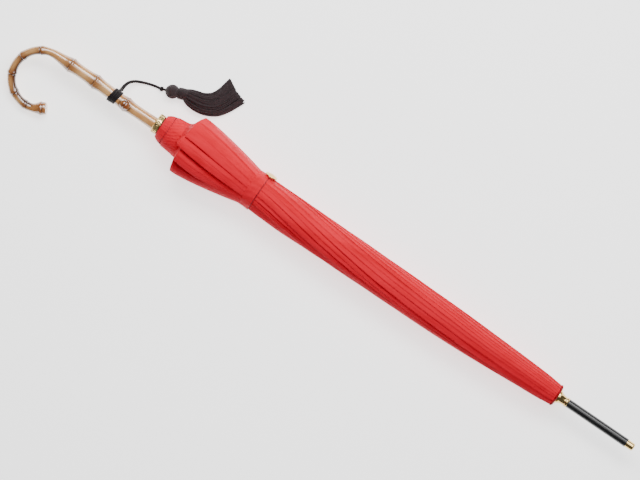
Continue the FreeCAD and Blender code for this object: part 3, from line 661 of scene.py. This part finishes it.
# ---- collar with a curved openwork pattern ---------------------------------------------------------------------
COLLAR_START, COLLAR_LENGTH, COLLAR_R, COLLAR_BORE = 193.5, 8.0, 13.3, 4.6
MOTIFS, COLLAR_ROWS, COLLAR_AROUND = 18, 33, 720
a = full_turn(COLLAR_AROUND)
ink, points = [], []
for share in np.linspace(0, 1, COLLAR_ROWS):
    cell = (MOTIFS * a / (2 * np.pi) + 0.35 * np.sin(np.pi * share)) % 1.0 - 0.5
    v = (share - 0.5) * 2
    leaf = np.hypot((cell - 0.06) / 0.34, v / 0.82)
    bite = np.hypot((cell - 0.20) / 0.26, (v - 0.1) / 0.55)
    dot = np.hypot((cell + 0.36) / 0.07, (v + 0.1) / 0.25)
    black = (((leaf < 1) & (bite > 1)) | (dot < 1)) & (abs(v) < 0.74)
    ink.append(black.astype(float))
    points.append(ring(COLLAR_START + COLLAR_LENGTH * share, COLLAR_R - abs(v) ** 6 - 0.35 * black, a))
for x in (COLLAR_START + COLLAR_LENGTH, COLLAR_START):
    ink.append(np.zeros(COLLAR_AROUND))
    points.append(ring(x, COLLAR_BORE, a))
faces = grid(len(points) + 1, COLLAR_AROUND, True)
total = len(points) * COLLAR_AROUND
faces = [tuple(i % total for i in face) for face in faces]
collar = piece(
    "collar_ring", np.concatenate(points), faces, collar_material(), "frame",
    attributes={"ink": np.concatenate(ink)},
)
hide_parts("collar", "collar_inlay")

# ---- furled canopy ---------------------------------------------------------------------------------------------
# Tables along x: the bundle's radius, what the flare adds to it, and the winding in degrees.
CORE = (
    (202, 15.3), (206, 17.8), (213, 20.5), (226, 22.3), (240, 23.8), (270, 25.3), (300, 25.6), (325, 25.0),
    (336, 24.5), (350, 24.3), (366, 24.8), (390, 25.2), (430, 25.4), (470, 25.3), (520, 25.0), (570, 24.4),
    (610, 23.5), (650, 22.2), (700, 20.1), (750, 17.7), (789, 15.3), (803, 13.9),
)
FLARE = (
    (225, 14.5), (237, 15.6), (244, 15.8), (262, 13.6), (284, 9.6), (313, 4.2), (330, 1.2), (338, 0.2),
    (350, 0.0), (803, 0.0),
)
TWIST = (
    (202, 0), (335, 0), (350, 1.5), (372, 6), (400, 16), (450, 36), (500, 53), (540, 64), (580, 72), (640, 81),
    (700, 88), (803, 95),
)
# Azimuths (0 is the tassel's side, 90 the top) of each pleat's folded edge at the hem and at the strap.
HEM_EDGES = (-9.0, 81.0, 103.0, 130.0, 172.0, 215.0, 262.0, 312.0)
STRAP_EDGES = (-2.0, 98.0, 128.0, 162.0, 190.0, 230.0, 275.0, 322.0)
# For each pleat: how far the flare sinks where it starts, its step over the last pleat in the flare and in the roll,
# and its columns of points.
VALLEY = (0.5, 0.02, 0.15, 0.34, 0.9, 0.6, 0.7, 0.6)
FLARE_TUCK = (1.4, 0.65, 1.1, 2.0, 1.6, 1.8, 1.8, 1.8)
ROLL_TUCK = (0.9, 1.9, 1.6, 1.9, 1.8, 1.8, 1.8, 1.2)
PLEAT_COLUMNS = (48, 70, 36, 36, 32, 40, 40, 42)
# Softer folds inside each pleat: share of the pleat's width, depth in the flare, depth in the roll.
FOLDS = (
    ((0.30, 0.2, 0.4), (0.66, 0.2, 0.5)),
    ((0.14, 0.0, 0.35), (0.33, 0.1, 0.55), (0.53, 0.55, 0.8), (0.66, 0.0, 0.3), (0.79, 0.2, 0.7)),
    ((0.47, 0.15, 0.75), (0.78, 0.0, 0.25)),
    ((0.27, 0.0, 0.3), (0.55, 0.2, 0.75)),
    ((0.48, 0.1, 0.5),),
    ((0.33, 0.2, 0.6), (0.68, 0.2, 0.5)),
    ((0.30, 0.2, 0.6), (0.66, 0.2, 0.6)),
    ((0.35, 0.2, 0.6), (0.70, 0.2, 0.6)),
)
# Tables round the hem: where the flared cloth ends along x, and over what length it turns in to the cup.
TABLE_START = -48
HEM_LINE = (
    (-48, 240), (-20, 241), (5, 243.4), (20, 241), (45, 236.5), (70, 235.5), (81, 235.5), (81.5, 233.0),
    (103, 232.4), (103.5, 238.6), (130, 238.6), (131, 237.2), (140, 237.5), (172, 241.8), (215, 240), (262, 236),
    (312, 240),
)
HEM_SLOPE = (
    (-48, 8), (-20, 13), (5, 14.5), (30, 12), (55, 8), (75, 5), (84, 3.2), (130, 3.0), (172, 2.6), (215, 3),
    (312, 8),
)
CLOTH_GAP = 0.9
ROWS_X = np.concatenate([
    np.arange(202, 228, 1.3), np.arange(228, 246, 0.5), np.arange(246, 330, 3.0), np.arange(330, 358, 1.4),
    np.arange(358, 790.1, 4.5),
])
WRINKLES = [(random.uniform(0, 360), random.uniform(1.0, 2.2), random.uniform(0.08, 0.22)) for _ in range(22)]
# Stations along x where the cloth changes.
CUP_START, STITCH_LINE, CUP_END = 202, 212.6, 228
STRAP_MIDDLE, ROLL_START, TAPER_END = 343, 352, 790


def pleat_edge(k, x):
    """Azimuth of pleat k's folded edge at x, in degrees. It winds round the shaft towards the ferrule."""
    turn, k = divmod(k, RIBS)
    hem = HEM_EDGES[k] + 360 * turn
    strap = STRAP_EDGES[k] + 360 * turn
    share = np.clip((np.asarray(x, float) - 235.0) / 110.0, 0, 1)
    wander = 1.3 * np.sin(0.017 * x + 2.1 * k) * ramp(x, ROLL_START, 420)
    return hem + (strap - hem) * share + along(x, TWIST) + wander


def round_hem(azimuth, table):
    """Value of a table of (azimuth, value) rows, which repeats every turn."""
    azimuth = (azimuth - TABLE_START) % 360 + TABLE_START
    return np.interp(azimuth, [row[0] for row in table], [row[1] for row in table])


def pinched(x):
    """1 under the strap, falling to 0 on both sides."""
    return np.exp(-(((x - STRAP_MIDDLE) / 11.0) ** 2))


def flared(k, s, x):
    """Radius of the bundle with its flare between the strap and the hem."""
    before, edge = HEM_EDGES[(k - 1) % RIBS], HEM_EDGES[k]
    azimuth = before + s * ((edge - before) % 360) - 0.01
    slope = round_hem(azimuth, HEM_SLOPE)
    opened = np.clip((x - round_hem(azimuth, HEM_LINE) + slope) / (slope + 0.3), 0, 1) ** (1.0 + slope / 12.0)
    ridge = 1 - VALLEY[k] * (1 - s) ** 1.6
    puff = 0.05 * np.sin(np.pi * s)
    return along(x, CORE) + along(x, FLARE) * opened * (ridge + puff)


def stepped(k, s, x):
    """Rise of pleat k from under the last pleat to its own edge."""
    tuck = FLARE_TUCK[k] + (ROLL_TUCK[k] - FLARE_TUCK[k]) * ramp(x, 330, 380)
    tuck = tuck * (0.25 + 0.75 * ramp(x, CUP_END, 240)) * (1 - 0.35 * ramp(x, 640, TAPER_END))
    return tuck * (1 - 0.6 * pinched(x)) * (s ** 1.5 - 0.4)


def folded(k, s, x, width):
    """Softer folds inside pleat k, each a steep drop and a gentle rise. width is the pleat's, in millimetres."""
    in_roll = ramp(x, 322, 372)
    fade = 2.0 * (1 - 0.5 * pinched(x)) * (1 - 0.25 * ramp(x, 660, TAPER_END))
    total = 0.0
    for j, (place, in_flare, rolled) in enumerate(FOLDS[k]):
        depth = fade * (in_flare * ramp(x, 236, 250) * (1 - in_roll) + rolled * in_roll)
        d = (s - place - 0.018 * np.sin(0.013 * x + 2 * j + k)) * width
        drop = np.where(d > 0, np.exp(-np.abs(d) / 3.2), 0.0) * np.clip(d / 0.45, 0, 1)
        rise = np.exp(-((np.minimum(d, 0) / 2.4) ** 2)) * np.where(d > 0, np.exp(-((d / 0.3) ** 2)), 1.0)
        total = total + depth * (0.45 * rise - drop)
    return total


def wrinkled(winding, x):
    """Fine wrinkles that run with the winding of the roll, and the crumpling under the strap."""
    total = 0.16 * pinched(x) * np.sin(np.radians(winding) * 31 + 2 * np.sin(0.05 * x))
    fade = (0.3 + 0.5 * ramp(x, 560, 740)) * ramp(x, ROLL_START, 380)
    for place, wide, deep in WRINKLES:
        d = (winding - place - 6 * np.sin(0.008 * x + place) + 180) % 360 - 180
        beside = 0.4 * np.exp(-(((d - 2.2 * wide) / (1.5 * wide)) ** 2))
        total = total + deep * fade * (beside - np.exp(-((d / wide) ** 2)))
    return total


def gathered(azimuth, x):
    """Gathers of the cup, on both sides of its line of stitches."""
    a = np.radians(azimuth)
    lean = np.radians(1.5 * (x - 213))
    outer = 0.26 * np.sin((a + lean) * 29 + 1.3 * np.sin(a * 3)) * ramp(x, 211, 216)
    inner = 0.16 * np.sin(a * 34) * (1 - ramp(x, 209, 213))
    line = -0.7 * np.exp(-(((x - STITCH_LINE) / 1.3) ** 2))
    return (outer + inner + line) * (1 - ramp(x, CUP_END, 238)) * ramp(x, CUP_START, 206)


def cloth_radius(k, s, x):
    """Outer radius of pleat k at s (0 where it comes out from under the last pleat, 1 at its own edge)."""
    s_in = np.clip(s, 0, 1)
    edge_before, edge = pleat_edge(k - 1, x), pleat_edge(k, x)
    azimuth = edge_before + s * (edge - edge_before)
    r = flared(k, s_in, x) + stepped(k, s_in, x) - np.where(s < 0, 3.5 * np.abs(s), 0.0)
    r = r + folded(k, s, x, np.radians(edge - edge_before) * 25.0)
    r = r + wrinkled(azimuth - along(x, TWIST), x) + gathered(azimuth, x)
    return r + 0.12 * np.sin(0.021 * x + np.radians(azimuth) * 2), azimuth


def on_table(x, azimuth, r):
    """Point of the furled cloth. The bundle sags a little towards the crook's side and flattens on the table."""
    azimuth = np.radians(azimuth)
    sag = 0.9 * ramp(x, 300, 400) * (1 - ramp(x, 680, 780))
    y = r * np.cos(azimuth) - sag
    z = np.maximum(r * np.sin(azimuth), TABLE_Z + 0.25)
    return np.stack([x + 0 * y, y, z], -1)


def pleat(k):
    """Points, faces and uv of the part of panel k that shows, doubled back at its folded edge."""
    s_under = np.linspace(-0.42, 0, 5)[:-1]
    s_out = np.concatenate([s_under, 1 - (1 - np.linspace(0, 1, PLEAT_COLUMNS[k])) ** 1.12])
    s_back = np.linspace(1, -0.42, 9)[1:]
    x = ROWS_X[:, None]
    r_out, az_out = cloth_radius(k, s_out[None, :] + 0 * x, x)
    r_back, az_back = cloth_radius(k, s_back[None, :] + 0 * x, x)
    r_edge, az_edge = r_out[:, -1:], az_out[:, -1:]
    bend = np.radians(np.array([-55, -20, 20, 55]))[None, :]
    half = 0.5 * CLOTH_GAP
    bend_r = r_edge - half - half * np.sin(bend)
    bend_az = az_edge + np.degrees(half * np.cos(bend) / r_edge) * 1.2
    r = np.concatenate([r_out, bend_r, r_back - CLOTH_GAP], 1)
    azimuth = np.concatenate([az_out, bend_az, az_back], 1)
    points = on_table(x, azimuth, r)
    cols = points.shape[1]
    steps = np.linalg.norm(np.diff(points, axis=1), axis=2)
    u = np.concatenate([np.zeros((len(ROWS_X), 1)), np.cumsum(steps, 1)], 1) / 1000
    v = np.repeat(x, cols, 1) / 1000
    return points.reshape(-1, 3), grid(len(ROWS_X), cols, True), np.stack([u, v], -1).reshape(-1, 2)


def rib_line(k):
    """Unit vector from the shaft to rib k."""
    a = math.radians(360 / RIBS * (k % RIBS))
    return np.array([0.0, math.cos(a), math.sin(a)])


def flatten(obj, k):
    """Puts the furled cloth on rib k's body, with its own copy of the mesh."""
    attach(obj, "rib_%d" % k)
    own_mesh(obj)


for k in range(RIBS):
    points, faces, uv = pleat(k)
    obj = piece("canopy_pleat_%d" % k, points, faces, RED, None, uv=uv)
    flatten(obj, k)
    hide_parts("canopy_%d" % k)
    widths = np.linalg.norm(np.diff(points.reshape(len(ROWS_X), -1, 3), axis=1), axis=2).sum(1)
    wide, long = 0.0005 * float(widths.mean()), 0.001 * float(ROWS_X[-1] - ROWS_X[0])

# Small dark stitches round the gathered cup, each a short slanted thread that dips into the cloth at its ends.
STITCH_EVERY, STITCH_X, STITCH_SLANT, STITCH_R = 8.6, (211.6, 213.2), 2.4, 0.33
for k in range(RIBS):
    shapes = []
    stitches = max(2, round(((HEM_EDGES[k] - HEM_EDGES[k - 1]) % 360) / STITCH_EVERY))
    for i in range(stitches):
        s = np.array((i + 0.5) / stitches)
        ends = []
        for x, slant in zip(STITCH_X, (0.0, STITCH_SLANT)):
            r, azimuth = cloth_radius(k, s, np.array(x))
            ends.append(on_table(x, azimuth + slant, r + 0.12))
        a, b = ends
        middle = 0.5 * (a + b)
        out = np.array([0, middle[1], middle[2]]) / np.hypot(middle[1], middle[2])
        raised = [0.7 * a + 0.3 * b + 0.12 * out, 0.3 * a + 0.7 * b + 0.12 * out]
        shapes.append(tube([a - 0.25 * out, *raised, b - 0.25 * out], STITCH_R, 6))
    points, faces = join(shapes)
    obj = piece("hem_stitches_%d" % k, points, faces, THREAD, None)
    flatten(obj, k)

# Gathered cloth round the crown, which stays put when the canopy opens.
GATHER_X = np.concatenate([np.linspace(787, 800, 9), np.linspace(801, 803, 4)])
GATHER_AROUND, GATHER_UNDER = 288, 0.25
GATHER_TURNED_IN = ((803.0, 9.0), (786.0, 9.9))
a = np.arange(GATHER_AROUND) * 360.0 / GATHER_AROUND
rows = []
for x in GATHER_X:
    r = np.zeros(GATHER_AROUND)
    for k in range(RIBS):
        before, edge = pleat_edge(k - 1, x), pleat_edge(k, x)
        s = ((a - before) % 360) / (edge - before)
        inside = s < 1
        r[inside] = cloth_radius(k, s[inside], np.full(inside.sum(), x))[0]
    rows.append(on_table(x, a, r - GATHER_UNDER))
rows += [ring(x, r, np.radians(a)) for x, r in GATHER_TURNED_IN]
points = np.concatenate(rows)
faces = grid(len(rows), GATHER_AROUND, True)
uv = np.stack([np.tile(np.arange(GATHER_AROUND), len(rows)) * 0.0003, points[:, 0] / 1000], 1)
gather = piece("crown_gather", points, faces, RED, "frame", uv=uv)
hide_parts("canopy_gather")

# Pinked cloth disc under the gold cap, as rings of (x, radius, how much the pinking bites).
TEETH = 36
DISC_RINGS = (
    (803.1, 7.0, 0), (803.2, 12.0, 0), (802.6, 14.0, 0.25), (801.9, 15.0, 0.6), (802.6, 15.1, 0.6),
    (804.2, 13.6, 0.2), (804.9, 12.0, 0), (804.95, 7.0, 0),
)
a = full_turn(TEETH * 8)
rows = []
for x, r, bite in DISC_RINGS:
    teeth = bite * np.abs(np.sin(0.5 * TEETH * a)) + 0.25 * bite * np.sin(5 * a)
    rows.append(ring(x + 0.5 * bite * np.sin(7 * a), r - teeth, a))
points = np.concatenate(rows)
uv = np.stack([points[:, 1] / 1000, points[:, 2] / 1000], 1)
rosette = piece("crown_disc", points, grid(len(rows), len(a), True), RED_DARK, "frame", uv=uv)
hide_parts("rosette")

CAP_OUTLINE = (
    (806.5, 4.6), (806.5, 7.4), (807.0, 7.9), (807.8, 7.9), (808.4, 7.3), (810.5, 6.5), (813.0, 5.8),
    (815.5, 5.45), (816.4, 5.5), (816.8, 6.0), (817.4, 6.35), (818.6, 6.4), (819.4, 6.2), (820.0, 5.75),
    (820.0, 4.6),
)
points, faces = lathe(CAP_OUTLINE, 96, closed=False)
cap = piece("flared_cap", points, faces, GOLD, "frame")
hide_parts("top_cap")

# ---- open canopy: each panel is a narrow strip hidden in the bundle between its two ribs -----------------------
PANEL_TOP, PANEL_HEM, SCALLOP = 779.0, 206.0, 30.0
PANEL_R, PANEL_LAP = 14.3, 2.2
PANEL_ROWS, PANEL_COLUMNS = 40, 25
OPEN_WIDTH, OPEN_LENGTH = 0.43, 0.57


def panel(k):
    """Panel k from a little past its own rib to the next rib. Its far edge stands slightly over that rib."""
    a, b = rib_line(k) * PANEL_R, rib_line(k + 1) * PANEL_R
    past_rib = np.cross(rib_line(k), [1.0, 0, 0]) * PANEL_LAP
    points, uv = [], []
    for v in np.linspace(0, 1, PANEL_ROWS):
        points.append(np.array([PANEL_TOP + (PANEL_HEM - PANEL_TOP) * v, 0, 0]) + a + past_rib)
        uv.append((-0.22 * v, v * OPEN_LENGTH))
        far = b * (1 + 0.11 * float(ramp(v, 0.0, 0.15)))
        for u in np.linspace(0, 1, PANEL_COLUMNS):
            # Columns are spaced by the inverse of a smooth step; a strip spread by a smooth step would then have
            # equal steps on the open panel.
            q = 0.5 - math.sin(math.asin(1 - 2 * u) / 3)
            hem = PANEL_HEM + SCALLOP * 4 * u * (1 - u)
            points.append(np.array([PANEL_TOP + (hem - PANEL_TOP) * v, 0, 0]) + a + (far - a) * q)
            uv.append(((u - 0.5) * OPEN_WIDTH * v, v * OPEN_LENGTH))
    faces = grid(PANEL_ROWS, PANEL_COLUMNS + 1)
    obj = piece("canopy_panel_%d" % k, np.array(points), faces, RED, None, uv=uv)
    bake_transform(obj)
    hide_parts("panel_fold_%d" % k)


for k in range(RIBS):
    panel(k)

# ---- strap and button ------------------------------------------------------------------------------------------
STRAP_START, STRAP_END, STRAP_R = 335.8, 350.4, 25.1
EDGE_THREAD_R = 0.32
a = np.arange(240) * 360.0 / 240


def strap_ring(x, lift):
    r = STRAP_R + lift + 0.14 * np.sin(np.radians(a) * 9 + 0.5 * x) + 0.09 * np.sin(np.radians(a) * 23 + 0.2 * x)
    return on_table(x, a, r)


# The strap's section as (x, lift): its two edges turn down and its middle is a little hollow.
profile = [(STRAP_START, -1.2), (STRAP_START, -0.15), (STRAP_START + 0.6, 0.1)]
for t in np.linspace(0.08, 0.92, 9):
    x = STRAP_START + 0.5 + (STRAP_END - STRAP_START - 1.0) * t
    profile.append((x, 0.15 + 0.3 * t - 0.12 * math.sin(math.pi * t)))
profile += [(STRAP_END - 0.5, 0.5), (STRAP_END, 0.3), (STRAP_END + 0.05, -0.5)]
rows = [strap_ring(x + 0.25 * np.sin(np.radians(a) * 3), lift) for x, lift in profile]
points = np.concatenate(rows)
uv = np.stack([np.tile(a, len(rows)) * 0.00045, points[:, 0] / 1000], 1)
strap = piece("strap_band", points, grid(len(rows), len(a), True), RED, None, uv=uv)
flatten(strap, 0)
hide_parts("strap")
edge = strap_ring(STRAP_END + 0.1, EDGE_THREAD_R)
points, faces = tube(np.concatenate([edge, edge[:1]]), EDGE_THREAD_R, 6, caps=False)
binding = piece("strap_edge", points, faces, THREAD, None)
flatten(binding, 0)

BUTTON_X, BUTTON_SEAT, BUTTON_TURN = 352.0, 25.8, math.radians(14.0)
BUTTON_OUTLINE = (
    (0.0, 0.05), (0.0, 7.6), (0.5, 8.2), (1.1, 8.4), (1.7, 8.1), (1.9, 7.5), (1.7, 7.0), (2.0, 6.4), (2.7, 5.2),
    (3.2, 3.6), (3.45, 1.8), (3.5, 0.05),
)
points, faces = lathe([(BUTTON_SEAT + x, r) for x, r in BUTTON_OUTLINE], 72)
points = points[:, [1, 0, 2]] + np.array([BUTTON_X, 0, 0])
c, s = math.cos(BUTTON_TURN), math.sin(BUTTON_TURN)
points = points @ np.array([[1, 0, 0], [0, c, -s], [0, s, c]]).T
button = piece("strap_stud", points, faces, GOLD, None)
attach(button, "rib_0")
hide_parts("strap_button")

# ---- floor and light -------------------------------------------------------------------------------------------
WHITE = (1.0, 1.0, 1.0, 1.0)
FLOOR_HALF = 9
corners = [(FLOOR_HALF * x, FLOOR_HALF * y, 0) for x, y in ((-1, -1), (1, -1), (1, 1), (-1, 1))]
floor_mesh = bpy.data.meshes.new("floor")
floor_mesh.from_pydata(corners, [], [(0, 1, 2, 3)])
m = Nodes("floor", Roughness=0.9, Emission_Strength=1.75, Emission_Color=WHITE)
m.link(m.ramp(m.noise(m.coords(), 2.0), (0.3, (0.90, 0.90, 0.90)), (0.7, (0.93, 0.93, 0.93))), "Base Color")
floor_mesh.materials.append(m.material)
floor = bpy.data.objects.new("floor", floor_mesh)
bpy.context.scene.collection.objects.link(floor)

world = bpy.data.worlds.new("world")
world.use_nodes = True
background = world.node_tree.nodes["Background"]
background.inputs["Color"].default_value = WHITE
background.inputs["Strength"].default_value = 0.10
bpy.context.scene.world = world


def softbox(name, place, aim, size, power):
    data = bpy.data.lights.new(name, "AREA")
    data.shape = "RECTANGLE"
    data.size, data.size_y = size
    data.energy = power
    light = bpy.data.objects.new(name, data)
    bpy.context.scene.collection.objects.link(light)
    light.location = place
    direction = np.array(aim) - np.array(place)
    light.rotation_euler = Vector(direction).to_track_quat("-Z", "Y").to_euler()


softbox("key", (-0.25, 0.95, 1.3), (0, 0, 0), (1.8, 0.6), 32.0)
softbox("top", (-0.1, 0.34, 1.35), (-0.1, 0, 0), (2.0, 0.45), 8.0)
